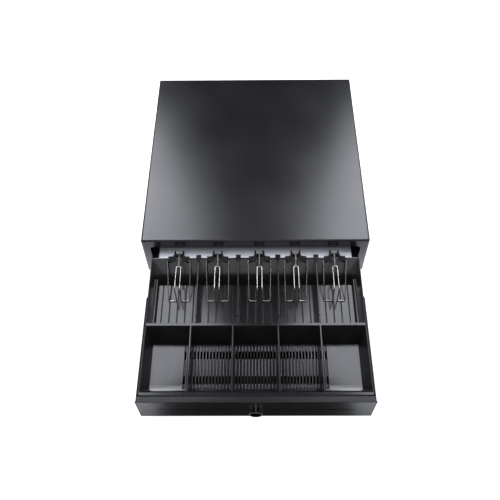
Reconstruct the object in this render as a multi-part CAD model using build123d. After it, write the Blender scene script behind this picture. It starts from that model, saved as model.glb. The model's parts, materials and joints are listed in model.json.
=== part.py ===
from build123d import *
import math
import os

# Cash drawer with a lift-out till. Millimetres. X to the right, +Y to the back of the case, +Z up.
# The origin is the middle of the base plate's underside. The drawer is drawn fully open.

# ---------------------------------------------------------------- driving dimensions
CASE_WIDTH = 410.0
CASE_DEPTH = 420.0
CASE_HEIGHT = 97.5
SHEET = 1.2
CORNER_RADIUS = 3.0
OPENING_HALF_WIDTH = 190.5
SILL_TOP = 8.5
LIP_BOTTOM = 77.5
TRAVEL = 289.0

PANEL_HALF_WIDTH = 189.5
PANEL_BOTTOM = 10.2
PANEL_TOP = 75.7
PANEL_THICKNESS = 2.2
PAN_HALF_WIDTH = 188.3
PAN_DEPTH = 350.0
PAN_BOTTOM = 13.8
PAN_SIDE_HIGH = 75.0
PAN_SIDE_LOW = 60.0

TILL_TOP = 75.7
TILL_FLOOR = 32.5
TILL_HALF_WIDTH = 186.5
TILL_WALL = 2.5

CLIP_X = (-137.0, -67.5, 7.5, 72.5, 142.0)
BILL_DIVIDER_X = (-101.7, -30.3, 40.4, 108.6)
COIN_SLOT_PITCH = 5.43
COIN_DIVIDER_SLOTS = (-20, -7, 7, 20)
COIN_SLOTS_EACH_SIDE = 22
BILL_GROOVE_PITCH = 13.9
BILL_GROOVES_EACH_SIDE = 12

ROLLER_RADIUS = 8.0
RUNNING_CLEARANCE = 0.05

# ---------------------------------------------------------------- derived positions
CASE_FRONT = -CASE_DEPTH / 2
CASE_BACK = CASE_DEPTH / 2
INNER_HALF_WIDTH = CASE_WIDTH / 2 - SHEET
FRONT = CASE_FRONT - TRAVEL
PAN_FLOOR = PAN_BOTTOM + SHEET
PAN_INNER = PAN_HALF_WIDTH - SHEET
PAN_BACK = FRONT + PAN_DEPTH
BASE_TOP = SHEET

# Depths in the till, measured back from the front panel's face
TILL_FRONT_OUTER = 10.4
TILL_FRONT_INNER = 16.4
MID_WALL_FRONT = 133.6
MID_WALL_BACK = 138.2
TILL_BACK_INNER = 265.5
TILL_BACK_OUTER = 268.5
DECK_FRONT = 269.3
DECK_TOP = 72.0
DECK_HALF_WIDTH = 173.5

ROLLER_Z = 47.75
DRAWER_ROLLER_Y = FRONT + 340.0
CASE_ROLLER_Y = -190.0
CASE_ROLLER_RADIUS = 5.5
CASE_ROLLER_Z = PAN_BOTTOM - CASE_ROLLER_RADIUS - 0.1

LOCK_Z = 39.5
LATCH_PIVOT_Y = 176.0
LATCH_PIVOT_Z = 53.5
PLUNGER_Y = 194.0
CLOSED_PAN_BACK = CASE_FRONT + PAN_DEPTH
EJECT_X = (-70.0, 70.0)
EJECT_Z = 45.0

CLIP_HINGE_DEPTH = 261.0
CLIP_HINGE_Z = 74.4
CLIP_WIRE_RADIUS = 1.0

# Case
LIP_RETURN_DEPTH = 7.0
OPENING_CORNER = 3.5
BASE_FLANGE_HEIGHT = 12.0
FOOT_X = 175.0
FOOT_Y = 180.0
FOOT_HEIGHT = 4.0
FOOT_RADIUS = 11.0
FOOT_SCREW_RADIUS = 2.0
FOOT_RECESS_RADIUS = 4.4
FOOT_HEAD_Z = -2.0
BASE_HOLE_X = 150.0
BASE_HOLE_Y = 150.0
BASE_HOLE_RADIUS = 2.5
SOCKET_X = -152.0
SOCKET_Z = 27.0
REAR_SCREW_PLACES = (
    (-190.0, 18.0), (-190.0, 80.0), (190.0, 18.0), (190.0, 80.0), (-60.0, 88.0), (60.0, 88.0),
)
REAR_SCREW_RADIUS = 1.5
RELEASE_SLOT = (-6, 6, 144, 165)
RAIL_FRONT = -178.0
RAIL_BACK = 150.0
RAIL_SHEET = 1.5
RAIL_INNER = 191.0
RAIL_CLEARANCE = 0.25
CASE_PIN_RADIUS = 1.5
BRACKET_X0 = 173.0
BRACKET_X1 = 185.0
BRACKET_TOP = 11.5

# Latch, solenoid and sensing, at the back
EAR_X0 = 9.0
EAR_X1 = 10.5
LATCH_PIN_RADIUS = 2.0
LATCH_ARM_HALF = 1.5
FORK_HALF = 3.0
PLUNGER_NECK = 2.5
SOLENOID_TOP = 36.0
PLUNGER_RADIUS = 4.5
WINDING_RADIUS = 9.0
BOBBIN_RADIUS = 10.2
EJECT_SPRING_RADIUS = 7.0
EJECT_WIRE = 1.4
EJECT_GUIDE_RADIUS = 4.5
SWITCH_X0 = -46.0
SWITCH_X1 = -36.0
SWITCH_PIVOT_Y = 155.0
SWITCH_PIVOT_Z = 27.0
CABLE_Y = 199.0
CABLE_Z = 20.0
CABLE_RADIUS = 1.6

# Drawer
HEM_INNER = 174.2
REST_DEPTHS = (60.0, 200.0)
REST_WIDTH = 14.0
REST_HALF_LENGTH = 150.0
CAM_SLOT = (-8.0, 21.5)
SLOT_INNER = 26.0
SLOT_OUTER = 157.0
SLOT_Z = 42.0
SLOT_HALF_HEIGHT = 1.3
LOCK_BODY_RADIUS = 9.3
PANEL_SCREW_PLACES = ((-170.0, 24.0), (-170.0, 62.0), (170.0, 24.0), (170.0, 62.0))
PANEL_SCREW_RADIUS = 1.5
LOCK_FACE_RADIUS = 10.25
LOCK_PROUD = 8.5
LOCK_LENGTH = 21.0
LOCK_PLUG_RADIUS = 6.5
LOCK_NUT_RADIUS = 12.5

# Till
SIDE_TOP = 184.0
SIDE_FLOOR = 175.0
LEDGE_Z = 42.5
COIN_SIDE_FLOOR = 176.0
BILL_FLOOR_BACK = 235.0
COIN_FLOOR_BACK = 117.0
COIN_FLOOR_FRONT = 44.0
SCOOP_RAMP_RADIUS = 33.0
SCOOP_RAMP_ANGLE = 17.3
SCOOP_BEND_RADIUS = 8.0
SCOOP_BEND_ANGLE = 68.0
MID_WALL_ROUNDING = 2.2
RIM_ROUNDING = 1.0
COIN_GROOVE_RADIUS = 3.6
COIN_GROOVE_DEPTH = 0.6
COIN_GROOVE_FRONT = 38.0
BILL_GROOVE_RADIUS = 1.0
COIN_SLOT_WIDTH = 2.4
COIN_SLOT_ROWS = ((47.0, 60.5), (91.0, 105.0))
DIVIDER_GAP = 0.25
BILL_DIVIDER_THICKNESS = 2.5
COIN_DIVIDER_THICKNESS = 2.8
DIVIDER_ROUNDING = 0.7

# Bill clips
BRACKET_HALF = 19.0
TONGUE_INNER = 5.8
TONGUE_OUTER = 8.6
BRACKET_LOW = TILL_TOP + 0.2
BRACKET_HIGH = TILL_TOP + 1.4
CLIP_ARM_X = 20.5
BAR_DEPTH = 279.0
BAR_RADIUS = 1.0
TONGUE_FRONT = 269.5
TONGUE_BACK = 281.5
SHOULDER_RADIUS = 5.5
CLIP_SPRING_RADIUS = 1.75
CLIP_SPRING_WIRE = 0.5


# ---------------------------------------------------------------- helpers
def block(x0, x1, y0, y1, z0, z1):
    """A box between two corners."""
    centre = Pos((x0 + x1) / 2, (y0 + y1) / 2, (z0 + z1) / 2)
    return centre * Box(abs(x1 - x0), abs(y1 - y0), abs(z1 - z0))


def rod_x(radius, x0, x1, y, z):
    return Pos((x0 + x1) / 2, y, z) * Rot(0, 90, 0) * Cylinder(radius, abs(x1 - x0))


def rod_y(radius, x, y0, y1, z):
    return Pos(x, (y0 + y1) / 2, z) * Rot(90, 0, 0) * Cylinder(radius, abs(y1 - y0))


def rod_z(radius, x, y, z0, z1):
    return Pos(x, y, (z0 + z1) / 2) * Cylinder(radius, abs(z1 - z0))


def slab_x(points, x0, x1):
    """A closed outline of (y, z) points, extruded along X."""
    outline = make_face(Polyline(*[(x0, y, z) for y, z in points], close=True))
    return extrude(outline, amount=x1 - x0, dir=(1, 0, 0))


def tapered(low, high):
    """A solid between two level rectangles, each (x0, x1, y0, y1, z)."""
    sections = []
    for x0, x1, y0, y1, z in (low, high):
        corners = [(x0, y0, z), (x1, y0, z), (x1, y1, z), (x0, y1, z)]
        sections.append(make_face(Polyline(*corners, close=True)))
    return loft(sections)


def both_sides(shape):
    """The shape and its mirror image across the middle, as two solids."""
    return [shape, mirror(shape, about=Plane.YZ)]


def save(name, *shapes):
    """Write one node: a single solid, or a group of separate ones."""
    solids = [solid for shape in shapes for solid in shape.solids()]
    whole = solids[0] if len(solids) == 1 else Compound(solids)
    export_step(whole, f"parts/{name}.step")


# ---------------------------------------------------------------- case
def case_cover():
    half = CASE_WIDTH / 2
    outer = block(-half, half, CASE_FRONT, CASE_BACK, 0, CASE_HEIGHT)
    top = outer.edges().filter_by(Plane.XY).group_by(Axis.Z)[-1]
    front_corners = outer.edges().filter_by(Axis.Z).group_by(Axis.Y)[0]
    outer = fillet(top.group_by(Axis.Y)[0] + top.filter_by(Axis.Y) + front_corners, CORNER_RADIUS)
    inner = block(
        -INNER_HALF_WIDTH, INNER_HALF_WIDTH, CASE_FRONT + SHEET, CASE_BACK + 1, -1, CASE_HEIGHT - SHEET
    )
    mouth = block(
        -OPENING_HALF_WIDTH, OPENING_HALF_WIDTH,
        CASE_FRONT - 1, CASE_FRONT + SHEET + 1, SILL_TOP, LIP_BOTTOM,
    )
    mouth = fillet(mouth.edges().filter_by(Axis.Y), OPENING_CORNER)
    lip_half = OPENING_HALF_WIDTH - 5
    lip_return = block(
        -lip_half, lip_half,
        CASE_FRONT + SHEET, CASE_FRONT + LIP_RETURN_DEPTH, LIP_BOTTOM, LIP_BOTTOM + SHEET,
    )
    return outer - inner - mouth + lip_return


def corner_places(x, y):
    """The four places at plus and minus x and y."""
    return [(side_x * x, side_y * y) for side_x in (-1, 1) for side_y in (-1, 1)]


def base_plate():
    plate = block(
        -INNER_HALF_WIDTH, INNER_HALF_WIDTH, CASE_FRONT + SHEET, CASE_BACK - SHEET, 0, BASE_TOP
    )
    for side in (-1, 1):
        plate += block(
            side * INNER_HALF_WIDTH, side * (INNER_HALF_WIDTH - SHEET),
            CASE_FRONT + SHEET, CASE_BACK - SHEET, 0, BASE_FLANGE_HEIGHT,
        )
    for x, y in corner_places(FOOT_X, FOOT_Y):
        plate -= rod_z(FOOT_SCREW_RADIUS, x, y, -1, BASE_TOP + 1)
    for x, y in corner_places(BASE_HOLE_X, BASE_HOLE_Y):
        plate -= rod_z(BASE_HOLE_RADIUS, x, y, -1, BASE_TOP + 1)
    return plate - block(*RELEASE_SLOT, -1, BASE_TOP + 1)


def rubber_feet():
    feet = []
    for x, y in corner_places(FOOT_X, FOOT_Y):
        foot = rod_z(FOOT_RADIUS, x, y, -FOOT_HEIGHT, 0)
        foot = chamfer(foot.edges().group_by(Axis.Z)[0], 0.8)
        foot -= rod_z(FOOT_RECESS_RADIUS, x, y, -FOOT_HEIGHT - 1, FOOT_HEAD_Z)
        foot -= rod_z(FOOT_SCREW_RADIUS, x, y, -FOOT_HEIGHT, 1)
        feet.append(foot)
    return feet


def foot_screws():
    screws = []
    for x, y in corner_places(FOOT_X, FOOT_Y):
        head = rod_z(4.0, x, y, FOOT_HEAD_Z - 1.4, FOOT_HEAD_Z)
        shank = rod_z(FOOT_SCREW_RADIUS, x, y, FOOT_HEAD_Z, 4.0)
        screws.append(head + shank)
    return screws


def rear_panel():
    back = CASE_BACK - SHEET
    panel = block(-INNER_HALF_WIDTH, INNER_HALF_WIDTH, back, CASE_BACK, 0, CASE_HEIGHT - SHEET)
    for side in (-1, 1):
        panel += block(
            side * (INNER_HALF_WIDTH - SHEET), side * (INNER_HALF_WIDTH - 2 * SHEET),
            back - 12, back, BASE_TOP, CASE_HEIGHT - 2 * SHEET,
        )
    panel -= block(SOCKET_X - 8, SOCKET_X + 8, back - 1, CASE_BACK + 1, SOCKET_Z - 7, SOCKET_Z + 7)
    for x, z in REAR_SCREW_PLACES:
        panel -= rod_y(REAR_SCREW_RADIUS, x, back - 1, CASE_BACK + 1, z)
    return panel


def rear_screws():
    screws = []
    for x, z in REAR_SCREW_PLACES:
        head = rod_y(3.0, x, CASE_BACK, CASE_BACK + 1.8, z)
        head = fillet(head.edges().group_by(Axis.Y)[-1], 1.2)
        head -= block(x - 2, x + 2, CASE_BACK + 1.0, CASE_BACK + 3, z - 0.4, z + 0.4)
        head -= block(x - 0.4, x + 0.4, CASE_BACK + 1.0, CASE_BACK + 3, z - 2, z + 2)
        screws.append(head + rod_y(REAR_SCREW_RADIUS, x, CASE_BACK - 6, CASE_BACK, z))
    return screws


def slide_rail():
    low = ROLLER_Z - ROLLER_RADIUS - RAIL_CLEARANCE - RAIL_SHEET
    high = ROLLER_Z + ROLLER_RADIUS + RAIL_CLEARANCE + RAIL_SHEET
    web = block(INNER_HALF_WIDTH - RAIL_SHEET, INNER_HALF_WIDTH, RAIL_FRONT, RAIL_BACK, low, high)
    channel = block(RAIL_INNER, INNER_HALF_WIDTH, RAIL_FRONT, RAIL_BACK, low, high)
    hollow = block(
        RAIL_INNER - 1, INNER_HALF_WIDTH - RAIL_SHEET,
        RAIL_FRONT - 1, RAIL_BACK + 1, low + RAIL_SHEET, high - RAIL_SHEET,
    )
    return channel - hollow + web


def stop_bumpers():
    low = ROLLER_Z - ROLLER_RADIUS - RAIL_CLEARANCE
    bumper = block(
        193, INNER_HALF_WIDTH - RAIL_SHEET,
        RAIL_FRONT + 1, DRAWER_ROLLER_Y - ROLLER_RADIUS - 0.3, low, low + 2 * ROLLER_RADIUS,
    )
    return both_sides(fillet(bumper.edges().filter_by(Axis.X), 1.0))


def case_roller():
    y, z = CASE_ROLLER_Y, CASE_ROLLER_Z
    roller = rod_x(CASE_ROLLER_RADIUS, BRACKET_X0 + 1.6, BRACKET_X1 - 1.6, y, z)
    roller = fillet(roller.edges().filter_by(GeomType.CIRCLE), 0.8)
    return roller - rod_x(CASE_PIN_RADIUS + RUNNING_CLEARANCE, BRACKET_X0, BRACKET_X1, y, z)


def roller_brackets():
    y0, y1 = CASE_ROLLER_Y - 5, CASE_ROLLER_Y + 5
    bracket = block(BRACKET_X0, BRACKET_X1, y0, y1, BASE_TOP, BASE_TOP + 1)
    bracket += block(BRACKET_X0, BRACKET_X0 + SHEET, y0, y1, BASE_TOP, BRACKET_TOP)
    bracket += block(BRACKET_X1 - SHEET, BRACKET_X1, y0, y1, BASE_TOP, BRACKET_TOP)
    bracket -= rod_x(CASE_PIN_RADIUS, BRACKET_X0 - 1, BRACKET_X1 + 1, CASE_ROLLER_Y, CASE_ROLLER_Z)
    return both_sides(bracket)


def case_roller_pins():
    pin = rod_x(CASE_PIN_RADIUS, BRACKET_X0 - 1, BRACKET_X1 + 1, CASE_ROLLER_Y, CASE_ROLLER_Z)
    pin += rod_x(2.4, BRACKET_X1, BRACKET_X1 + 1, CASE_ROLLER_Y, CASE_ROLLER_Z)
    return both_sides(pin)


# ---------------------------------------------------------------- latch, solenoid and sensing, at the back


def latch_bracket():
    y0, y1 = LATCH_PIVOT_Y - 9, LATCH_PIVOT_Y + 6
    bracket = block(-16, 16, y0, y1, BASE_TOP, BASE_TOP + 1.5)
    for side in (-1, 1):
        bracket += block(side * EAR_X0, side * EAR_X1, y0, y1, BASE_TOP, LATCH_PIVOT_Z + 7)
    return bracket - rod_x(LATCH_PIN_RADIUS, -20, 20, LATCH_PIVOT_Y, LATCH_PIVOT_Z)


def latch_pivot_pin():
    pin = rod_x(LATCH_PIN_RADIUS, -12, 12, LATCH_PIVOT_Y, LATCH_PIVOT_Z)
    return pin + rod_x(3.2, 10.5, 12, LATCH_PIVOT_Y, LATCH_PIVOT_Z)


def latch_lever():
    y, z = LATCH_PIVOT_Y, LATCH_PIVOT_Z
    hook = [
        (y - 30, z - 10.5), (y - 25, z - 10.5), (y - 25, z - 3),
        (y, z - 3.5), (y, z + 3.5), (y - 28, z + 3), (y - 30, z - 4),
    ]
    lever = slab_x(hook, -LATCH_ARM_HALF, LATCH_ARM_HALF)
    lever += rod_x(4.5, -8, 8, y, z)
    lever += block(-6, 6, y + 3, PLUNGER_Y + 5, z - 1.25, z + 1.25)
    lever -= block(-FORK_HALF, FORK_HALF, PLUNGER_Y - FORK_HALF - 1, PLUNGER_Y + 6, z - 3, z + 3)
    return lever - rod_x(LATCH_PIN_RADIUS + RUNNING_CLEARANCE, -20, 20, y, z)


def solenoid_frame():
    y0, y1 = PLUNGER_Y - 10.5, PLUNGER_Y + 10.5
    frame = block(-14, 14, y0, y1, BASE_TOP, SOLENOID_TOP)
    frame -= block(-12.2, 12.2, y0 - 1, y1 + 1, BASE_TOP + 2, SOLENOID_TOP - 2)
    bore = rod_z(PLUNGER_RADIUS + RUNNING_CLEARANCE, 0, PLUNGER_Y, SOLENOID_TOP - 4, SOLENOID_TOP + 1)
    return frame - bore


def solenoid_coil():
    low, high = BASE_TOP + 2.2, SOLENOID_TOP - 2.2
    coil = rod_z(WINDING_RADIUS, 0, PLUNGER_Y, low + 2, high - 2)
    coil += rod_z(BOBBIN_RADIUS, 0, PLUNGER_Y, low, low + 2)
    coil += rod_z(BOBBIN_RADIUS, 0, PLUNGER_Y, high - 2, high)
    return coil - rod_z(PLUNGER_RADIUS + RUNNING_CLEARANCE, 0, PLUNGER_Y, low + 2, high + 1)


def solenoid_plunger():
    z = LATCH_PIVOT_Z
    plunger = rod_z(PLUNGER_RADIUS, 0, PLUNGER_Y, 12, z - 6)
    plunger += rod_z(7.0, 0, PLUNGER_Y, z - 6, z - 4)
    plunger += rod_z(PLUNGER_NECK, 0, PLUNGER_Y, z - 4, z + 4)
    return plunger + rod_z(4.5, 0, PLUNGER_Y, z + 4, z + 6)


def plunger_spring():
    """The return spring's envelope, under the plunger's collar."""
    low, high = SOLENOID_TOP + 0.1, LATCH_PIVOT_Z - 6.1
    envelope = rod_z(6.6, 0, PLUNGER_Y, low, high)
    return envelope - rod_z(5.2, 0, PLUNGER_Y, low - 1, high + 1)


def eject_springs():
    """The envelopes of the two springs that push the drawer out."""
    back = CASE_BACK - SHEET - 3
    springs = []
    for x in EJECT_X:
        envelope = rod_y(EJECT_SPRING_RADIUS, x, back - 95, back, EJECT_Z)
        springs.append(envelope - rod_y(EJECT_SPRING_RADIUS - EJECT_WIRE, x, back - 96, back + 1, EJECT_Z))
    return springs


def eject_guides():
    guides = []
    for x in EJECT_X:
        back = CASE_BACK - SHEET
        guide = rod_y(EJECT_GUIDE_RADIUS, x, CLOSED_PAN_BACK + 9, back, EJECT_Z)
        guide = chamfer(guide.edges().group_by(Axis.Y)[0], 1.5)
        guides.append(guide + rod_y(11.0, x, back - 2.5, back, EJECT_Z))
    return guides


def switch_housing():
    housing = block(SWITCH_X0, SWITCH_X1, 158.5, 170, BASE_TOP, 46)
    housing = fillet(housing.edges().filter_by(Axis.Z), 0.8)
    for x0, x1 in ((SWITCH_X0, SWITCH_X0 + 1.2), (SWITCH_X1 - 1.2, SWITCH_X1)):
        ear = block(x0, x1, SWITCH_PIVOT_Y - 2.5, 160, SWITCH_PIVOT_Z - 3, SWITCH_PIVOT_Z + 3)
        housing += ear
    bore = rod_x(0.8 + RUNNING_CLEARANCE, SWITCH_X0 - 1, SWITCH_X1 + 1, SWITCH_PIVOT_Y, SWITCH_PIVOT_Z)
    return housing - bore


def switch_lever():
    y, z = SWITCH_PIVOT_Y, SWITCH_PIVOT_Z
    x0, x1 = SWITCH_X0 + 1.5, SWITCH_X1 - 1.5
    lever = rod_x(1.6, x0, x1, y, z) + rod_x(0.8, SWITCH_X0, SWITCH_X1, y, z)
    tip_y = CLOSED_PAN_BACK + 0.8
    blade = [(y - 1.4, z), (y - 0.2, z + 1.2), (tip_y + 0.9, z + 24), (tip_y, z + 23.4)]
    return lever + slab_x(blade, x0 + 1, x1 - 1)


def interface_socket():
    back = CASE_BACK
    body = block(SOCKET_X - 8, SOCKET_X + 8, back - 16, back, SOCKET_Z - 7, SOCKET_Z + 7)
    cavity = block(SOCKET_X - 5.9, SOCKET_X + 5.9, back - 12, back + 1, SOCKET_Z - 4.2, SOCKET_Z + 3.4)
    key = block(SOCKET_X - 1.7, SOCKET_X + 1.7, back - 12, back + 1, SOCKET_Z - 5.8, SOCKET_Z - 3)
    return body - cavity - key


def socket_contacts():
    contacts = []
    for i in range(6):
        x = SOCKET_X + (i - 2.5) * 1.27
        wire = [(CASE_BACK - 12, 3.3), (CASE_BACK - 3, 3.3), (CASE_BACK - 11.5, 0.6), (CASE_BACK - 12, 0.6)]
        contacts.append(slab_x([(y, SOCKET_Z + z) for y, z in wire], x - 0.2, x + 0.2))
    return contacts


def inner_cable():
    """The fixed lead from the socket to the solenoid's coil, straight along the rear panel."""
    return rod_x(CABLE_RADIUS, SOCKET_X + 8.1, -14.1, CABLE_Y, CABLE_Z + 3)


def cable_clips():
    clips = []
    for x in (-120.0, -60.0):
        clip = block(x - 4, x + 4, CABLE_Y - 4, CASE_BACK - SHEET, CABLE_Z - 1, CABLE_Z + 7)
        clips.append(clip - rod_x(CABLE_RADIUS, x - 5, x + 5, CABLE_Y, CABLE_Z + 3))
    return clips


def lock_keeper():
    keeper = block(-10, 10, CASE_FRONT + 16.5, CASE_FRONT + 18.5, BASE_TOP, 12.5)
    return keeper + block(-10, 10, CASE_FRONT + 6, CASE_FRONT + 18.5, BASE_TOP, BASE_TOP + 1.5)


# ---------------------------------------------------------------- drawer


def media_slots(y0, y1):
    """The two long slots where papers are pushed in below the till."""
    low, high = SLOT_Z - SLOT_HALF_HEIGHT, SLOT_Z + SLOT_HALF_HEIGHT
    return [block(side * SLOT_INNER, side * SLOT_OUTER, y0, y1, low, high) for side in (-1, 1)]


def front_panel():
    plate = block(
        -PANEL_HALF_WIDTH, PANEL_HALF_WIDTH, FRONT, FRONT + PANEL_THICKNESS, PANEL_BOTTOM, PANEL_TOP
    )
    plate = fillet(plate.edges().filter_by(Axis.Y), 2.0)
    plate = fillet(plate.faces().sort_by(Axis.Y)[0].edges(), 0.7)
    plate -= rod_y(LOCK_BODY_RADIUS + RUNNING_CLEARANCE, 0, FRONT - 1, FRONT + 5, LOCK_Z)
    for slot in media_slots(FRONT - 1, FRONT + PANEL_THICKNESS + 1):
        plate -= slot
    for x, z in PANEL_SCREW_PLACES:
        plate -= rod_y(PANEL_SCREW_RADIUS, x, FRONT + 0.9, FRONT + 5, z)
    return plate


def panel_screws():
    wall = FRONT + PANEL_THICKNESS + SHEET
    screws = []
    for x, z in PANEL_SCREW_PLACES:
        screws.append(rod_y(PANEL_SCREW_RADIUS, x, FRONT + 0.9, wall, z) + rod_y(3.0, x, wall, wall + 2, z))
    return screws


def pan_side():
    """The right side wall: high beside the till's front half, lower behind it."""
    step = FRONT + 184.0
    wall_front = FRONT + PANEL_THICKNESS
    outline = [
        (wall_front, PAN_BOTTOM), (PAN_BACK, PAN_BOTTOM), (PAN_BACK, PAN_SIDE_LOW),
        (step + 15, PAN_SIDE_LOW), (step, PAN_SIDE_HIGH), (wall_front, PAN_SIDE_HIGH),
    ]
    return slab_x(outline, PAN_INNER, PAN_HALF_WIDTH)


def side_hem():
    """The right side wall's top edge behind the till, folded inwards as far as the deck."""
    return block(
        HEM_INNER, PAN_HALF_WIDTH, FRONT + DECK_FRONT, PAN_BACK, PAN_SIDE_LOW - SHEET, PAN_SIDE_LOW
    )


def till_rest(y):
    """A folded channel across the pan's floor that the till stands on."""
    high = TILL_FLOOR - TILL_WALL - 0.2
    channel = block(-REST_HALF_LENGTH, REST_HALF_LENGTH, y, y + REST_WIDTH, PAN_FLOOR, high)
    hollow = block(
        -REST_HALF_LENGTH - 1, REST_HALF_LENGTH + 1,
        y + SHEET, y + REST_WIDTH - SHEET, PAN_FLOOR, high - SHEET,
    )
    return channel - hollow


def drawer_pan():
    wall_front = FRONT + PANEL_THICKNESS
    pan = block(-PAN_HALF_WIDTH, PAN_HALF_WIDTH, wall_front, PAN_BACK, PAN_BOTTOM, PAN_FLOOR)
    for side in both_sides(pan_side() + side_hem()):
        pan += side
    pan += block(-PAN_INNER, PAN_INNER, wall_front, wall_front + SHEET, PAN_BOTTOM, PAN_SIDE_HIGH)
    pan += block(-PAN_INNER, PAN_INNER, wall_front, FRONT + 10, PAN_SIDE_HIGH - SHEET, PAN_SIDE_HIGH)
    pan += block(-PAN_INNER, PAN_INNER, PAN_BACK - SHEET, PAN_BACK, PAN_BOTTOM, DECK_TOP - SHEET)
    for depth in REST_DEPTHS:
        pan += till_rest(FRONT + depth)
    pan -= rod_y(LOCK_BODY_RADIUS + RUNNING_CLEARANCE, 0, FRONT, FRONT + 5, LOCK_Z)
    pan -= block(*CAM_SLOT, FRONT + 17, FRONT + 29, PAN_BOTTOM - 1, PAN_FLOOR + 1)
    for slot in media_slots(FRONT, FRONT + 5):
        pan -= slot
    for x, z in PANEL_SCREW_PLACES:
        pan -= rod_y(PANEL_SCREW_RADIUS, x, FRONT, FRONT + 5, z)
    return pan


def rear_deck():
    """The plated cover behind the till, with a shallow pressed step along it."""
    front = FRONT + DECK_FRONT
    back = PAN_BACK - SHEET
    half = DECK_HALF_WIDTH
    deck = block(-half, half, front, PAN_BACK, DECK_TOP - SHEET, DECK_TOP)
    deck += block(-half, half, front, front + SHEET, PAN_FLOOR, DECK_TOP)
    deck += block(-half, half, back - SHEET, back, PAN_FLOOR, DECK_TOP)
    step = tapered(
        (-159, 159, CASE_FRONT - 7, CASE_FRONT + 46, DECK_TOP - 0.2),
        (-157.5, 157.5, CASE_FRONT - 5.5, CASE_FRONT + 44.5, DECK_TOP + 1.2),
    )
    return deck + step


def drawer_roller():
    roller = rod_x(ROLLER_RADIUS, 193, 200, DRAWER_ROLLER_Y, ROLLER_Z)
    roller = fillet(roller.edges().filter_by(GeomType.CIRCLE), 1.0)
    return roller - rod_x(3.0 + RUNNING_CLEARANCE, 190, 202, DRAWER_ROLLER_Y, ROLLER_Z)


def drawer_roller_pins():
    pin = rod_x(3.0, PAN_HALF_WIDTH, 201.2, DRAWER_ROLLER_Y, ROLLER_Z)
    pin += rod_x(5.0, PAN_HALF_WIDTH, 192.7, DRAWER_ROLLER_Y, ROLLER_Z)
    pin += rod_x(4.5, 200.3, 201.2, DRAWER_ROLLER_Y, ROLLER_Z)
    return both_sides(pin)


def striker():
    z = LATCH_PIVOT_Z - 7.5
    plate = block(-9, 9, PAN_BACK, PAN_BACK + 17, z, z + 1.5)
    plate -= block(-4, 4, PAN_BACK + 4.5, PAN_BACK + 13.5, z - 1, z + 3)
    return plate + block(-9, 9, PAN_BACK, PAN_BACK + 1.5, z - 12, z + 1.5)


def lock_barrel():
    barrel = rod_y(LOCK_FACE_RADIUS, 0, FRONT - LOCK_PROUD, FRONT, LOCK_Z)
    barrel = fillet(barrel.edges().group_by(Axis.Y)[0], 1.2)
    barrel += rod_y(LOCK_BODY_RADIUS, 0, FRONT, FRONT + LOCK_LENGTH, LOCK_Z)
    bore = rod_y(LOCK_PLUG_RADIUS + RUNNING_CLEARANCE, 0, FRONT - 20, FRONT + 30, LOCK_Z)
    return barrel - bore


def lock_nut():
    y0 = FRONT + PANEL_THICKNESS + SHEET
    hexagon = Plane((0, y0, LOCK_Z), z_dir=(0, 1, 0)) * RegularPolygon(LOCK_NUT_RADIUS, 6)
    nut = extrude(hexagon, amount=3.5)
    return nut - rod_y(LOCK_BODY_RADIUS, 0, y0 - 1, y0 + 5, LOCK_Z)


def lock_plug():
    plug = rod_y(LOCK_PLUG_RADIUS, 0, FRONT - LOCK_PROUD + 0.4, FRONT + LOCK_LENGTH, LOCK_Z)
    keyway = block(-0.9, 0.9, FRONT - LOCK_PROUD, FRONT - LOCK_PROUD + 12, LOCK_Z - 4.2, LOCK_Z + 4.2)
    return plug - keyway + rod_y(3.0, 0, FRONT + LOCK_LENGTH, FRONT + LOCK_LENGTH + 3, LOCK_Z)


def lock_cam():
    y0 = FRONT + LOCK_LENGTH + 0.4
    cam = rod_y(6.5, 0, y0, y0 + 2, LOCK_Z) + block(0, 31, y0, y0 + 2, LOCK_Z - 5, LOCK_Z + 5)
    return cam - rod_y(3.0, 0, y0 - 1, y0 + 4, LOCK_Z)


# ---------------------------------------------------------------- till
def bill_cavity():
    lower = tapered(
        (-SIDE_FLOOR, SIDE_FLOOR, FRONT + MID_WALL_BACK, FRONT + BILL_FLOOR_BACK, TILL_FLOOR),
        (-177, 177, FRONT + MID_WALL_BACK, FRONT + BILL_FLOOR_BACK + 7.1, LEDGE_Z),
    )
    upper = tapered(
        (-180, 180, FRONT + MID_WALL_BACK, FRONT + BILL_FLOOR_BACK + 7.1, LEDGE_Z),
        (-SIDE_TOP, SIDE_TOP, FRONT + MID_WALL_BACK, FRONT + TILL_BACK_INNER + 0.1, TILL_TOP + 0.1),
    )
    return lower + upper


def scoop_profile():
    """Depth and height of five points up the scoop: a shallow ramp's arc, then a tighter bend."""
    ramp, bend, between = SCOOP_RAMP_RADIUS, SCOOP_BEND_RADIUS, math.radians(SCOOP_RAMP_ANGLE)
    last = math.radians(SCOOP_BEND_ANGLE)
    bend_depth = COIN_FLOOR_FRONT - (ramp - bend) * math.sin(between)
    bend_height = ramp - (ramp - bend) * math.cos(between)
    points = []
    for angle in (0.0, between / 2, between):
        points.append((COIN_FLOOR_FRONT - ramp * math.sin(angle), ramp * (1 - math.cos(angle))))
    for angle in ((between + last) / 2, last):
        points.append((bend_depth - bend * math.sin(angle), bend_height - bend * math.cos(angle)))
    return points


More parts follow.
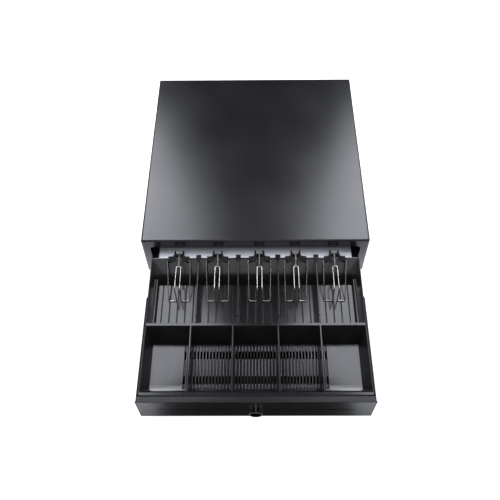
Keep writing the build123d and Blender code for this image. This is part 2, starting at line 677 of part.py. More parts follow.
def coin_cavity(x0, x1, gap=0.0):
    """The coin section's hollow between two places across the till, drawn in by a gap."""
    top = TILL_TOP + 0.1
    floor = TILL_FLOOR + gap
    front_top = (x0, FRONT + TILL_FRONT_INNER + gap, top)
    back_top = (x0, FRONT + MID_WALL_FRONT - gap, top)
    back_low = (x0, FRONT + COIN_FLOOR_BACK - gap, floor)
    scoop = [(x0, FRONT + depth + gap, floor + height) for depth, height in scoop_profile()]
    outline = make_face([
        Polyline(front_top, back_top, back_low, scoop[0]),
        ThreePointArc(*scoop[0:3]),
        ThreePointArc(*scoop[2:5]),
        Line(scoop[4], front_top),
    ])
    return extrude(outline, amount=x1 - x0, dir=(1, 0, 0))


def till_shell():
    """The till's outer shape, tapering down to its floor, with rounded corners and rim."""
    shell = tapered(
        (-177.5, 177.5, FRONT + 31, FRONT + 238, TILL_FLOOR - TILL_WALL),
        (-TILL_HALF_WIDTH, TILL_HALF_WIDTH, FRONT + TILL_FRONT_OUTER, FRONT + TILL_BACK_OUTER, TILL_TOP),
    )
    uprights = shell.edges().filter_by(lambda edge: abs(edge.tangent_at(0.5).Z) > 0.5)
    shell = fillet(uprights, 4.0)
    return fillet(shell.edges().group_by(Axis.Z)[-1], RIM_ROUNDING)


def side_mouths():
    """Widens the two side rims' inner edges a little towards the top."""
    y0, y1 = FRONT + TILL_FRONT_INNER, FRONT + TILL_BACK_INNER
    wide = SIDE_TOP + RIM_ROUNDING
    return tapered(
        (-SIDE_TOP, SIDE_TOP, y0, y1, TILL_TOP - RIM_ROUNDING), (-wide, wide, y0, y1, TILL_TOP + 0.1)
    )


def round_mid_wall(tray):
    """Rounds the top of the wall between the bill and coin sections."""
    low, high = FRONT + MID_WALL_FRONT - 1, FRONT + MID_WALL_BACK + 1
    edges = tray.edges().filter_by(Axis.X).filter_by_position(Axis.Z, TILL_TOP - 0.01, TILL_TOP + 0.01)
    return fillet(edges.filter_by_position(Axis.Y, low, high), MID_WALL_ROUNDING)


def till_tray():
    sides = tapered(
        (-COIN_SIDE_FLOOR, COIN_SIDE_FLOOR, FRONT, FRONT + 150, TILL_FLOOR - 1),
        (-SIDE_TOP, SIDE_TOP, FRONT, FRONT + 150, TILL_TOP + 1),
    )
    coins = coin_cavity(-SIDE_TOP - 1, SIDE_TOP + 1) & sides
    tray = round_mid_wall(till_shell() - bill_cavity() - coins)
    hollow_wall = [
        (FRONT + MID_WALL_BACK - 2.4, TILL_FLOOR - 4), (FRONT + COIN_FLOOR_BACK + 3.5, TILL_FLOOR - 4),
        (FRONT + MID_WALL_BACK - 3.2, TILL_TOP - 8),
    ]
    tray -= slab_x(hollow_wall, -172, 172)
    tray = tray - bill_floor_grooves() - coin_floor_grooves() - coin_floor_slots()
    return tray - spring_notches() - side_mouths()


def bill_floor_grooves():
    """Narrow round-bottomed grooves along the bill compartments."""
    y0, y1 = FRONT + MID_WALL_BACK + 0.8, FRONT + BILL_FLOOR_BACK - 0.5
    return [
        rod_y(BILL_GROOVE_RADIUS, i * BILL_GROOVE_PITCH, y0, y1, TILL_FLOOR)
        for i in range(-BILL_GROOVES_EACH_SIDE, BILL_GROOVES_EACH_SIDE + 1)
    ]


def coin_floor_grooves():
    """Shallow round-bottomed grooves, leaving narrow ribs between them."""
    y0, y1 = FRONT + COIN_GROOVE_FRONT, FRONT + COIN_FLOOR_BACK - 0.8
    z = TILL_FLOOR - COIN_GROOVE_DEPTH + COIN_GROOVE_RADIUS
    return [
        rod_y(COIN_GROOVE_RADIUS, i * COIN_SLOT_PITCH, y0, y1, z)
        for i in range(-COIN_SLOTS_EACH_SIDE, COIN_SLOTS_EACH_SIDE + 1)
    ]


def coin_floor_slots():
    half = COIN_SLOT_WIDTH / 2
    cuts = []
    for i in range(-COIN_SLOTS_EACH_SIDE, COIN_SLOTS_EACH_SIDE + 1):
        x = i * COIN_SLOT_PITCH
        for d0, d1 in COIN_SLOT_ROWS:
            cuts.append(block(
                x - half, x + half, FRONT + d0, FRONT + d1, TILL_FLOOR - TILL_WALL - 1, TILL_FLOOR
            ))
    return cuts


def spring_notches():
    """Gaps in the till's back rim, one for each clip's spring."""
    y0, y1 = FRONT + TILL_BACK_INNER - 4, FRONT + TILL_BACK_OUTER + 1
    return [block(x - 3.2, x + 3.2, y0, y1, TILL_TOP - 4.6, TILL_TOP + 1) for x in CLIP_X]


def round_top(plate):
    """Rounds the two long top edges of a divider."""
    long_edges = plate.edges().filter_by(Axis.Y)
    return fillet(long_edges.group_by(Axis.Z)[-1], DIVIDER_ROUNDING)


def bill_divider(x):
    back_top = FRONT + TILL_BACK_INNER - 1.0
    back_low = FRONT + BILL_FLOOR_BACK - 1.0
    front = FRONT + MID_WALL_BACK + DIVIDER_GAP
    floor = TILL_FLOOR + DIVIDER_GAP
    top = TILL_TOP - 0.2
    notch = FRONT + 150.0
    half = BILL_DIVIDER_THICKNESS / 2
    plate = slab_x([(front, floor), (back_low, floor), (back_top, top), (front, top)], x - half, x + half)
    plate = round_top(plate)
    outline = [
        (notch + 2.2, top + 0.1), (notch + 1.2, top - 2.6),
        (notch - 1.2, top - 2.6), (notch - 2.2, top + 0.1),
    ]
    plate -= slab_x(outline, x - half, x + half)
    top_tab = block(x - 4.5, x + 4.5, FRONT + 261.5, FRONT + 273.0, TILL_TOP + 0.1, TILL_TOP + 1.3)
    rib = block(x - half, x + half, FRONT + 258.0, FRONT + 264.0, top - 1, TILL_TOP + 1.3)
    return plate + top_tab + rib


def coin_divider(x):
    half = COIN_DIVIDER_THICKNESS / 2
    plate = coin_cavity(x - half, x + half, gap=DIVIDER_GAP)
    plate -= block(x - 3, x + 3, FRONT, FRONT + 200, TILL_TOP - 0.1, TILL_TOP + 3)
    plate = round_top(plate)
    for d0, d1 in COIN_SLOT_ROWS:
        plate += block(
            x - 0.9, x + 0.9, FRONT + d0 + 0.5, FRONT + d1 - 0.5,
            TILL_FLOOR - TILL_WALL + 0.1, TILL_FLOOR + 1,
        )
    return plate


# ---------------------------------------------------------------- bill clips
def bracket_outline():
    """The right half of the bracket's top plate: the hinge flange and one arm of the tongue."""
    z = BRACKET_LOW
    front = FRONT + CLIP_HINGE_DEPTH - 2.4
    shoulder = FRONT + TONGUE_FRONT
    neck = shoulder + SHOULDER_RADIUS
    back = FRONT + TONGUE_BACK
    x_neck = TONGUE_OUTER + SHOULDER_RADIUS
    middle = (TONGUE_OUTER + 1.6, shoulder + 1.6, z)
    corners = [
        (TONGUE_OUTER, neck, z), (TONGUE_OUTER, back, z), (TONGUE_INNER, back, z),
        (TONGUE_INNER, front, z), (BRACKET_HALF, front, z), (BRACKET_HALF, shoulder, z),
        (x_neck, shoulder, z),
    ]
    return make_face([Polyline(*corners), ThreePointArc(corners[-1], middle, corners[0])])


def clip_bracket(x):
    """A bracket on the till's back rim: hinge blocks in front, a channel-shaped tongue behind."""
    hinge_y = FRONT + CLIP_HINGE_DEPTH
    front = hinge_y - 2.4
    y0, y1 = FRONT + TONGUE_FRONT, FRONT + TONGUE_BACK
    floor = DECK_TOP + 0.2
    half = extrude(bracket_outline(), amount=BRACKET_HIGH - BRACKET_LOW, dir=(0, 0, 1))
    half += block(13, BRACKET_HALF - 0.2, front, hinge_y + 2.0, CLIP_HINGE_Z - 2.2, BRACKET_HIGH)
    half -= rod_x(CLIP_WIRE_RADIUS + RUNNING_CLEARANCE, 12, BRACKET_HALF + 1, hinge_y, CLIP_HINGE_Z)
    half += block(TONGUE_INNER, TONGUE_OUTER, y0, y1, floor, BRACKET_HIGH)
    bracket = half + mirror(half, about=Plane.YZ)
    bracket += block(-TONGUE_INNER, TONGUE_INNER, y0, FRONT + 277, floor, floor + 0.6)
    return Pos(x, 0, 0) * bracket


def spring_bar(x):
    """The plated bar across the tongue that the clip's spring hooks on."""
    z = BRACKET_HIGH - BAR_RADIUS - 0.1
    return rod_x(BAR_RADIUS, x - TONGUE_INNER, x + TONGUE_INNER, FRONT + BAR_DEPTH, z)


def clip_wire(x):
    """One bent wire: hinge ends, arms, feet on the till floor, and the raised finger loop."""
    hinge = (FRONT + CLIP_HINGE_DEPTH, CLIP_HINGE_Z)
    foot = (FRONT + 202.0, TILL_FLOOR + CLIP_WIRE_RADIUS + 0.3)
    knee = (FRONT + 204.5, CLIP_HINGE_Z - 1.9)
    crown = (FRONT + 251.0, CLIP_HINGE_Z - 1.9)
    half = [
        (14.0, *hinge), (CLIP_ARM_X, *hinge), (18.6, *foot), (4.2, *foot), (4.2, *knee), (4.2, *crown),
    ]
    points = half + [(-px, py, pz) for px, py, pz in reversed(half)]
    radii = [1.6, 2.2, 2.2, 3.0, 4.0, 4.0, 3.0, 2.2, 2.2, 1.6]
    path = FilletPolyline(*points, radius=radii)
    section = Plane(path @ 0, z_dir=path % 0) * Circle(CLIP_WIRE_RADIUS)
    return Pos(x, 0, 0) * sweep(section, path=path)


def clip_spring(x):
    """The extension spring's envelope, from the bar to the loop's crown."""
    start = Vector(x, FRONT + BAR_DEPTH - 3.2, BRACKET_HIGH - 1.65)
    end = Vector(x, FRONT + 253.4, CLIP_HINGE_Z - 1.6)
    axis = Plane(start, z_dir=end - start)
    length = (end - start).length
    tube = extrude(axis * Circle(CLIP_SPRING_RADIUS), amount=length)
    return tube - extrude(axis * Circle(CLIP_SPRING_RADIUS - CLIP_SPRING_WIRE), amount=length)


# ---------------------------------------------------------------- write every node
def main():
    os.makedirs("parts", exist_ok=True)

    save("case_cover", case_cover())
    save("base_plate", base_plate())
    save("rear_panel", rear_panel())
    save("rubber_feet", *rubber_feet())
    save("case_screws", *rear_screws(), *foot_screws())
    save("slide_rails", *both_sides(slide_rail()))
    save("stop_bumpers", *stop_bumpers())
    for name, roller in zip(("case_roller_right", "case_roller_left"), both_sides(case_roller())):
        save(name, roller)
    save("roller_brackets", *roller_brackets())
    save("case_roller_pins", *case_roller_pins())

    save("latch_bracket", latch_bracket())
    save("latch_pivot_pin", latch_pivot_pin())
    save("latch_lever", latch_lever())
    save("solenoid_frame", solenoid_frame())
    save("solenoid_coil", solenoid_coil())
    save("solenoid_plunger", solenoid_plunger())
    save("plunger_spring", plunger_spring())
    save("eject_springs", *eject_springs())
    save("eject_guides", *eject_guides())
    save("switch_housing", switch_housing())
    save("switch_lever", switch_lever())
    save("interface_socket", interface_socket())
    save("socket_contacts", *socket_contacts())
    save("inner_cable", inner_cable())
    save("cable_clips", *cable_clips())
    save("lock_keeper", lock_keeper())

    save("front_panel", front_panel())
    save("panel_screws", *panel_screws())
    save("drawer_pan", drawer_pan())
    save("rear_deck", rear_deck())
    for name, roller in zip(("drawer_roller_right", "drawer_roller_left"), both_sides(drawer_roller())):
        save(name, roller)
    save("drawer_roller_pins", *drawer_roller_pins())
    save("striker", striker())
    save("lock_barrel", lock_barrel())
    save("lock_nut", lock_nut())
    save("lock_plug", lock_plug())
    save("lock_cam", lock_cam())

    save("till_tray", till_tray())
    for i, x in enumerate(BILL_DIVIDER_X, start=1):
        save(f"bill_divider_{i}", bill_divider(x))
    for i, slot in enumerate(COIN_DIVIDER_SLOTS, start=1):
        save(f"coin_divider_{i}", coin_divider(slot * COIN_SLOT_PITCH))
    save("clip_brackets", *[clip_bracket(x) for x in CLIP_X])
    save("spring_bars", *[spring_bar(x) for x in CLIP_X])
    for i, x in enumerate(CLIP_X, start=1):
        save(f"clip_wire_{i}", clip_wire(x))
        save(f"clip_spring_{i}", clip_spring(x))


main()
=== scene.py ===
import json
import math

import bpy
from mathutils import Matrix, Vector


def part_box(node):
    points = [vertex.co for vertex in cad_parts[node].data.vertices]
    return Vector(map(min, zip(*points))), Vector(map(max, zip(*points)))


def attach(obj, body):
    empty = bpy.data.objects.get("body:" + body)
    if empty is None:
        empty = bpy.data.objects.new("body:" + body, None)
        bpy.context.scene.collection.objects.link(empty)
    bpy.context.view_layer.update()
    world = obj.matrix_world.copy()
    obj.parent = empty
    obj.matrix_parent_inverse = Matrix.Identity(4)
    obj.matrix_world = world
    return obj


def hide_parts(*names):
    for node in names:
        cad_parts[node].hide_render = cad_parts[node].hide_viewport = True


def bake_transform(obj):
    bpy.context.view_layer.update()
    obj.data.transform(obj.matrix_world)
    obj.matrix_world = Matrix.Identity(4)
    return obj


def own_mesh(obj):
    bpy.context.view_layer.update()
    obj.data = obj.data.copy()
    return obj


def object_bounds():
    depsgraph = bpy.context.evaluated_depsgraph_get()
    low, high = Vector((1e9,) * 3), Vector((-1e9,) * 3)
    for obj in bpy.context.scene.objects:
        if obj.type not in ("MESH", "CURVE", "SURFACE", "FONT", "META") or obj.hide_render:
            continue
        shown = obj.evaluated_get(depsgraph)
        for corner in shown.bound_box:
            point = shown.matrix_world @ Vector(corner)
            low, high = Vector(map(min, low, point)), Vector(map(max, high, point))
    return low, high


# A cash drawer, drawn open. Metres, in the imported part's own frame: X right, +Y back, +Z up.
MM = 0.001

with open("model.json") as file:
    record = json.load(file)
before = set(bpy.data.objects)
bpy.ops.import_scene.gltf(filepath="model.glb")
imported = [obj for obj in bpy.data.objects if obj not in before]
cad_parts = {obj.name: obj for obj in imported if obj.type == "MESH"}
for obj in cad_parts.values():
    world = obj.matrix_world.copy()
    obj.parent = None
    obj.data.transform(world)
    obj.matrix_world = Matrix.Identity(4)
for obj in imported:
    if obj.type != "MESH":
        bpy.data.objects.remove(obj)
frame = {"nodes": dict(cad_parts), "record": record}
cad_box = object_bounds()

# ---------------------------------------------------------------- camera
CAMERA_PLACE = (0.0002, -0.8243, 1.0026)
CAMERA_PITCH = 56.69
CAMERA_YAW = -0.91
CAMERA_ROLL = -0.98
CAMERA_LENS = 44.14

# ---------------------------------------------------------------- room and lights
FLOOR_SIZE = 40.0
FLOOR_DROP = 0.0002
FLOOR_GLOW = 0.95
WALL_GLOW = 0.75
WALL_FADE = 0.35  # how far above the horizon the walls are black, as the sine of the angle
LIGHTS_AIM = (0.0, -0.15, 0.05)
LIGHTS_DISTANCE = 2.2
LIGHTS_COLOUR = (0.96, 0.98, 1.06)

# Softboxes made on both sides: name, degrees out from straight back, degrees up, width, height, watts
PAIRED_SOFTBOXES = (
    ("rear", 26, 48, 0.5, 0.8, 12.0),
    ("high", 38, 66, 0.7, 0.5, 6.0),
    ("side", 90, 40, 0.9, 0.9, 8.0),
)

# Softboxes in front of the drawer, in the middle: name, degrees up, width, height, watts
FRONT_SOFTBOXES = (
    ("front_low", 10, 2.0, 0.6, 4.0),
    ("front_high", 55, 0.9, 0.9, 5.0),
)

# Small lights under the translucent table, made on both sides: name, x, y, width, depth, watts
TABLE_LIGHTS = (
    ("under", 0.42, -0.45, 0.35, 0.2, 0.9),
    ("under_front", 0.35, -0.8, 0.2, 0.2, 0.3),
)
TABLE_LIGHT_HEIGHT = -0.5

# ---------------------------------------------------------------- till and clips
TILL_RIM = 75.75 * MM
RIM_FADE = 0.2 * MM
CLIPS = 5

# ---------------------------------------------------------------- springs, as wire radii and turns
CLIP_SPRING_RADIUS = 1.75 * MM
CLIP_SPRING_WIRE = 0.27 * MM
CLIP_SPRING_TURNS = 36
BAR_HOOK_RADIUS = 1.35 * MM
BAR_HOOK_ANGLES = (-60, 190)
LOOP_HOOK_RADIUS = 1.4 * MM
LOOP_HOOK_ANGLES = (20, 300)
CLIP_LOOP_OFFSET = Vector((0, -2.4, -0.3)) * MM
EJECT_WIRE = 0.7 * MM
EJECT_TURNS = 14
PLUNGER_WIRE = 0.6 * MM
PLUNGER_TURNS = 6


def make_camera():
    """The viewpoint: in front of the drawer and above it, looking down at the till."""
    data = bpy.data.cameras.new("camera")
    data.lens = CAMERA_LENS
    data.clip_start = 0.01
    camera = bpy.data.objects.new("camera", data)
    bpy.context.scene.collection.objects.link(camera)
    pitch, yaw, roll = (math.radians(a) for a in (CAMERA_PITCH, CAMERA_YAW, CAMERA_ROLL))
    forward = Vector((math.sin(yaw) * math.cos(pitch), math.cos(yaw) * math.cos(pitch), -math.sin(pitch)))
    level_right = Vector((math.cos(yaw), -math.sin(yaw), 0))
    level_up = level_right.cross(forward)
    right = math.cos(roll) * level_right + math.sin(roll) * level_up
    up = math.cos(roll) * level_up - math.sin(roll) * level_right
    turn = Matrix((right, up, -forward)).transposed().to_4x4()
    camera.matrix_world = Matrix.Translation(CAMERA_PLACE) @ turn
    bpy.context.scene.camera = camera


def area_light(name, place, target, width, height, power):
    """A rectangular light at one place, facing another."""
    data = bpy.data.lights.new(name, "AREA")
    data.shape = "RECTANGLE"
    data.size = width
    data.size_y = height
    data.energy = power
    data.color = LIGHTS_COLOUR
    light = bpy.data.objects.new(name, data)
    bpy.context.scene.collection.objects.link(light)
    light.location = place
    light.rotation_euler = (Vector(target) - Vector(place)).to_track_quat("-Z", "Y").to_euler()


def softbox(name, azimuth, elevation, width, height, power):
    """An area light placed by its direction from the drawer and aimed at it."""
    around, up = math.radians(azimuth), math.radians(elevation)
    direction = Vector((math.sin(around) * math.cos(up), math.cos(around) * math.cos(up), math.sin(up)))
    place = Vector(LIGHTS_AIM) + LIGHTS_DISTANCE * direction
    area_light(name, place, LIGHTS_AIM, width, height, power)


def make_room():
    """Walls that are pale at the horizon and fade to black above and below it."""
    world = bpy.data.worlds.new("studio")
    bpy.context.scene.world = world
    world.use_nodes = True
    nodes, links = world.node_tree.nodes, world.node_tree.links
    direction = nodes.new("ShaderNodeTexCoord").outputs["Generated"]
    parts = nodes.new("ShaderNodeSeparateXYZ")
    tilt = nodes.new("ShaderNodeMath")
    tilt.operation = "ABSOLUTE"
    fade = nodes.new("ShaderNodeMapRange")
    fade.interpolation_type = "SMOOTHSTEP"
    fade.inputs["From Min"].default_value = 0.0
    fade.inputs["From Max"].default_value = WALL_FADE
    fade.inputs["To Min"].default_value = WALL_GLOW
    fade.inputs["To Max"].default_value = 0.0
    links.new(direction, parts.inputs["Vector"])
    links.new(parts.outputs["Z"], tilt.inputs[0])
    links.new(tilt.outputs[0], fade.inputs["Value"])
    links.new(fade.outputs["Result"], nodes["Background"].inputs["Strength"])
    nodes["Background"].inputs["Color"].default_value = (1, 1, 1, 1)


def make_studio():
    """A lit white table in a room with pale walls and a dark ceiling, with softboxes and table lights."""
    make_room()
    bpy.context.scene.view_settings.view_transform = "Standard"

    lowest = cad_box[0][2]
    bpy.ops.mesh.primitive_plane_add(size=FLOOR_SIZE, location=(0, 0, lowest - FLOOR_DROP))
    floor = bpy.context.object
    floor.name = "floor"
    floor.data.materials.append(floor_finish())
    floor.visible_glossy = False
    floor.visible_shadow = False

    for name, elevation, width, height, power in FRONT_SOFTBOXES:
        softbox(name, 180, elevation, width, height, power)
    for side, way in (("left", -1), ("right", 1)):
        for name, azimuth, elevation, width, height, power in PAIRED_SOFTBOXES:
            softbox(f"{side}_{name}", way * azimuth, elevation, width, height, power)
        for name, x, y, width, depth, power in TABLE_LIGHTS:
            place = (way * x, y, TABLE_LIGHT_HEIGHT)
            area_light(f"{side}_{name}", place, (way * x, y, 0), width, depth, power)


# ---------------------------------------------------------------- finishes
class Finish:
    """A Principled material and the few node shapes that its detail is made of."""

    def __init__(self, name, metallic=0.0, specular=0.5):
        self.material = bpy.data.materials.new(name)
        self.material.use_nodes = True
        self.nodes = self.material.node_tree.nodes
        self.links = self.material.node_tree.links
        self.shader = self.nodes["Principled BSDF"]
        self.shader.inputs["Metallic"].default_value = metallic
        self.shader.inputs["Specular IOR Level"].default_value = specular
        self.place = self.nodes.new("ShaderNodeTexCoord").outputs["Object"]

    def stretched(self, factors):
        """The object's coordinates, scaled along each axis."""
        mapping = self.nodes.new("ShaderNodeMapping")
        mapping.inputs["Scale"].default_value = factors
        self.links.new(self.place, mapping.inputs["Vector"])
        return mapping.outputs["Vector"]

    def noise(self, per_metre, detail=3.0, factors=(1, 1, 1)):
        """Smooth random variation, 0 to 1, with that many patches per metre."""
        node = self.nodes.new("ShaderNodeTexNoise")
        node.inputs["Scale"].default_value = per_metre
        node.inputs["Detail"].default_value = detail
        self.links.new(self.stretched(factors), node.inputs["Vector"])
        return node.outputs["Fac"]

    def between(self, fac, low, high, start=0.3, end=0.7):
        """A number that runs from low to high as fac goes from start to end."""
        node = self.nodes.new("ShaderNodeMapRange")
        node.inputs["From Min"].default_value = start
        node.inputs["From Max"].default_value = end
        node.inputs["To Min"].default_value = low
        node.inputs["To Max"].default_value = high
        self.links.new(fac, node.inputs["Value"])
        return node.outputs["Result"]

    def roughness(self, fac, low, high):
        self.links.new(self.between(fac, low, high), self.shader.inputs["Roughness"])

    def colour(self, fac, dark, light):
        node = self.nodes.new("ShaderNodeMix")
        node.data_type = "RGBA"
        node.inputs["A"].default_value = (*dark, 1)
        node.inputs["B"].default_value = (*light, 1)
        self.links.new(self.between(fac, 0, 1), node.inputs["Factor"])
        self.links.new(node.outputs["Result"], self.shader.inputs["Base Color"])

    def specular_above(self, height, below_level, above_level):
        """A specular level that changes at one height, between what is below and above it."""
        parts = self.nodes.new("ShaderNodeSeparateXYZ")
        self.links.new(self.place, parts.inputs["Vector"])
        level = self.between(parts.outputs["Z"], below_level, above_level, height, height + RIM_FADE)
        self.links.new(level, self.shader.inputs["Specular IOR Level"])

    def relief(self, *layers, edge=0.0003):
        """Bumps, each (height field, depth in metres), over edges softened by that radius."""
        bevel = self.nodes.new("ShaderNodeBevel")
        bevel.samples = 4
        bevel.inputs["Radius"].default_value = edge
        normal = bevel.outputs["Normal"]
        for fac, depth in layers:
            bump = self.nodes.new("ShaderNodeBump")
            bump.inputs["Strength"].default_value = 1.0
            bump.inputs["Distance"].default_value = depth
            self.links.new(fac, bump.inputs["Height"])
            self.links.new(normal, bump.inputs["Normal"])
            normal = bump.outputs["Normal"]
        self.links.new(normal, self.shader.inputs["Normal"])


def grey(level):
    """A neutral colour."""
    return (level, level, level)


def floor_finish():
    """The table's matte white, which also glows."""
    finish = Finish("floor_matte")
    fine = finish.noise(60)
    finish.colour(fine, grey(0.84), grey(0.86))
    finish.roughness(fine, 0.85, 0.95)
    finish.shader.inputs["Emission Color"].default_value = (1, 1, 1, 1)
    finish.shader.inputs["Emission Strength"].default_value = FLOOR_GLOW
    return finish.material


def powder_coat(name, level, rough):
    """Satin black powder coat on sheet steel, with its fine orange peel."""
    finish = Finish(name)
    peel = finish.noise(1400, detail=2)
    cloud = finish.noise(9, detail=2)
    finish.colour(cloud, grey(level * 0.9), grey(level * 1.15))
    finish.roughness(cloud, rough - 0.02, rough + 0.02)
    finish.relief((peel, 0.000012), edge=0.0005)
    return finish.material


def zinc_plate():
    """Zinc-plated steel sheet: rolled streaks and a faint cloudy bloom."""
    finish = Finish("zinc_plated_sheet", metallic=0.45)
    streaks = finish.noise(160, detail=4, factors=(0.15, 6, 6))
    bloom = finish.noise(25, detail=3)
    finish.colour(bloom, (0.62, 0.63, 0.67), (0.70, 0.71, 0.74))
    finish.roughness(streaks, 0.40, 0.50)
    finish.relief((streaks, 0.000006), edge=0.0004)
    return finish.material


def plated_metal(name, dark, light, rough_low, rough_high):
    """Bright plated metal with fine drawing marks."""
    finish = Finish(name, metallic=1.0)
    marks = finish.noise(900, detail=3, factors=(1, 0.2, 1))
    finish.colour(marks, dark, light)
    finish.roughness(marks, rough_low, rough_high)
    finish.relief((marks, 0.0000008), edge=0.0002)
    return finish.material


def till_plastic():
    """Glossy injection-moulded black plastic with faint flow variation and fine scuffs."""
    finish = Finish("moulded_till_plastic")
    flow = finish.noise(30, detail=2)
    scuffs = finish.noise(500, detail=4, factors=(1, 0.08, 1))
    finish.colour(flow, grey(0.017), grey(0.024))
    finish.specular_above(TILL_RIM, 0.5, 0.06)
    finish.roughness(scuffs, 0.10, 0.16)
    finish.relief((flow, 0.00006), (scuffs, 0.000004), edge=0.0006)
    return finish.material


def moulded_plastic(name, dark, light, rough, specular=0.5):
    """Plain engineering plastic with a fine spark-eroded grain."""
    finish = Finish(name, specular=specular)
    grain = finish.noise(1800, detail=3)
    finish.colour(grain, dark, light)
    finish.roughness(grain, rough - 0.05, rough + 0.08)
    finish.relief((grain, 0.00001), edge=0.0003)
    return finish.material


def rubber():
    """Matte black rubber with a coarse speckle."""
    finish = Finish("black_rubber")
    speckle = finish.noise(700, detail=5)
    finish.colour(speckle, grey(0.012), grey(0.03))
    finish.roughness(speckle, 0.7, 0.9)
    finish.relief((speckle, 0.00003), edge=0.0004)
    return finish.material


def copper_winding():
    """Enamelled wire, wound in level turns round the vertical coil, with painted shade in the grooves
    between turns and a painted highlight on their crests.
    """
    finish = Finish("enamelled_copper", metallic=1.0)
    wave = finish.nodes.new("ShaderNodeTexWave")
    wave.bands_direction = "Z"
    wave.inputs["Scale"].default_value = 500
    wave.inputs["Distortion"].default_value = 0.4
    finish.links.new(finish.place, wave.inputs["Vector"])
    turns = wave.outputs["Fac"]
    # painted shade and highlight: the copper is darker in the grooves between turns and lighter on their
    # crests
    finish.colour(turns, (0.30, 0.09, 0.03), (0.72, 0.30, 0.13))
    finish.roughness(turns, 0.25, 0.4)
    finish.relief((turns, 0.0001))
    return finish.material


def make_finishes():
    """One material for each of the record's material slots."""
    return {
        "case_paint": powder_coat("case_powder_coat", 0.010, 0.23),
        "base_paint": powder_coat("base_powder_coat", 0.016, 0.42),
        "drawer_paint": powder_coat("drawer_powder_coat", 0.010, 0.26),
        "zinc_plate": zinc_plate(),
        "chrome_plate": plated_metal("chrome_plating", grey(0.17), grey(0.23), 0.10, 0.18),
        "bright_steel": plated_metal("bright_wire", (0.52, 0.49, 0.44), (0.62, 0.59, 0.53), 0.2, 0.3),
        "spring_steel": plated_metal("spring_wire", (0.46, 0.44, 0.40), (0.58, 0.56, 0.51), 0.26, 0.36),
        "till_plastic": till_plastic(),
        "black_plastic": moulded_plastic("black_nylon", grey(0.008), grey(0.014), 0.55, specular=0.12),
        "white_nylon": moulded_plastic("white_nylon", grey(0.68), grey(0.78), 0.42),
        "rubber": rubber(),
        "copper_winding": copper_winding(),
        "gold_contacts": plated_metal("gold_plating", (0.75, 0.50, 0.16), (0.90, 0.64, 0.26), 0.15, 0.3),
    }


def slot_of_nodes():
    """Each CAD node's material slot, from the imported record."""
    return {part["node"]: part["material_slot"] for part in frame["record"]["subparts"]}


def dress_cad(finishes):
    """Gives every CAD node the finish of its material slot."""
    slots = slot_of_nodes()
    for name, node in frame["nodes"].items():
        for place in node.material_slots:
            place.material = finishes[slots[name]]


# ---------------------------------------------------------------- springs
def wire_along(name, points, radius, finish):
    """A round wire that follows a list of points, as a mesh."""
    curve = bpy.data.curves.new(name, "CURVE")
    curve.dimensions = "3D"
    curve.bevel_depth = radius
    curve.bevel_resolution = 3
    curve.use_fill_caps = True
    spline = curve.splines.new("POLY")
    spline.points.add(len(points) - 1)
    for point, place in zip(spline.points, points):
        point.co = (*place, 1)
    guide = bpy.data.objects.new(name + "_guide", curve)
    mesh = bpy.data.meshes.new_from_object(guide)
    bpy.data.objects.remove(guide)
    bpy.data.curves.remove(curve)
    mesh.name = name
    mesh.materials.clear()
    mesh.materials.append(finish)
    for face in mesh.polygons:
        face.use_smooth = True
    piece = bpy.data.objects.new(name, mesh)
    bpy.context.scene.collection.objects.link(piece)
    return piece


def coil_points(start, end, radius, turns, closed=0.0, per_turn=16):
    """Points round a helix from start to end, with that many flat turns at each end."""
    start, end = Vector(start), Vector(end)
    axis = (end - start).normalized()
    across = axis.orthogonal().normalized()
    other = axis.cross(across)
    points = []
    count = int(turns * per_turn)
    for i in range(count + 1):
        turn = turns * i / count
        along = min(max((turn - closed) / (turns - 2 * closed), 0.0), 1.0)
        angle = 2 * math.pi * turn
        out = math.cos(angle) * across + math.sin(angle) * other
        points.append(start.lerp(end, along) + radius * out)
    return points


def hook_points(centre, radius, first, last, steps=14):
    """Points round part of a circle that lies in the YZ plane, between two angles from +Y."""
    points = []
    for i in range(steps + 1):
        angle = math.radians(first + (last - first) * i / steps)
        points.append(Vector(centre) + radius * Vector((0, math.cos(angle), math.sin(angle))))
    return points


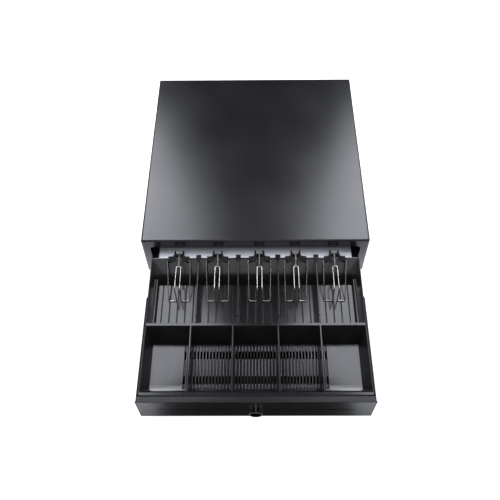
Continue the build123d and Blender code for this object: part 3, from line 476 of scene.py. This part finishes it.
def make_clip_springs(finish):
    """A close-wound extension spring behind each clip, hooked on its bar and on the clip's loop."""
    bar_low, bar_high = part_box("spring_bars")
    for i in range(1, CLIPS + 1):
        (x0, y0, z0), (x1, y1, z1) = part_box(f"clip_spring_{i}")
        middle = (x0 + x1) / 2
        rear = Vector((middle, y1, z1 - CLIP_SPRING_RADIUS))
        front = Vector((middle, y0, z0 + CLIP_SPRING_RADIUS))
        bar = (middle, (bar_low[1] + bar_high[1]) / 2, (bar_low[2] + bar_high[2]) / 2)
        loop = front + CLIP_LOOP_OFFSET
        wound = CLIP_SPRING_RADIUS - CLIP_SPRING_WIRE
        points = hook_points(bar, BAR_HOOK_RADIUS, *BAR_HOOK_ANGLES)
        points += coil_points(rear, front, wound, CLIP_SPRING_TURNS)
        points += hook_points(loop, LOOP_HOOK_RADIUS, *LOOP_HOOK_ANGLES)
        spring = wire_along(f"clip_coil_{i}", points, CLIP_SPRING_WIRE, finish)
        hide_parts(f"clip_spring_{i}")
        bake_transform(spring)


def compression_spring(name, node, start, end, radius, wire, turns, finish):
    """An open-wound spring with flat ends that fills a CAD envelope of that outer radius."""
    inset = wire * (Vector(end) - Vector(start)).normalized()
    points = coil_points(Vector(start) + inset, Vector(end) - inset, radius - wire, turns, closed=1.0)
    spring = wire_along(name, points, wire, finish)
    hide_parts(node)
    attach(spring, "case")
    return spring


def make_case_springs(finish):
    """The two springs that push the drawer out and the one that lifts the solenoid's plunger."""
    (x0, y0, z0), (x1, y1, z1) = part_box("eject_springs")
    radius = (z1 - z0) / 2
    for side, x in (("left", x0 + radius), ("right", x1 - radius)):
        spring = compression_spring(
            f"eject_coil_{side}", "eject_springs",
            (x, y1, z0 + radius), (x, y0, z0 + radius), radius, EJECT_WIRE, EJECT_TURNS, finish,
        )
        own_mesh(spring)

    (x0, y0, z0), (x1, y1, z1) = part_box("plunger_spring")
    radius = (x1 - x0) / 2
    x, y = (x0 + x1) / 2, (y0 + y1) / 2
    spring = compression_spring(
        "plunger_coil", "plunger_spring",
        (x, y, z0), (x, y, z1), radius, PLUNGER_WIRE, PLUNGER_TURNS, finish,
    )
    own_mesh(spring)


# ---------------------------------------------------------------- build
finishes = make_finishes()
make_camera()
make_studio()
dress_cad(finishes)
make_clip_springs(finishes["spring_steel"])
make_case_springs(finishes["spring_steel"])
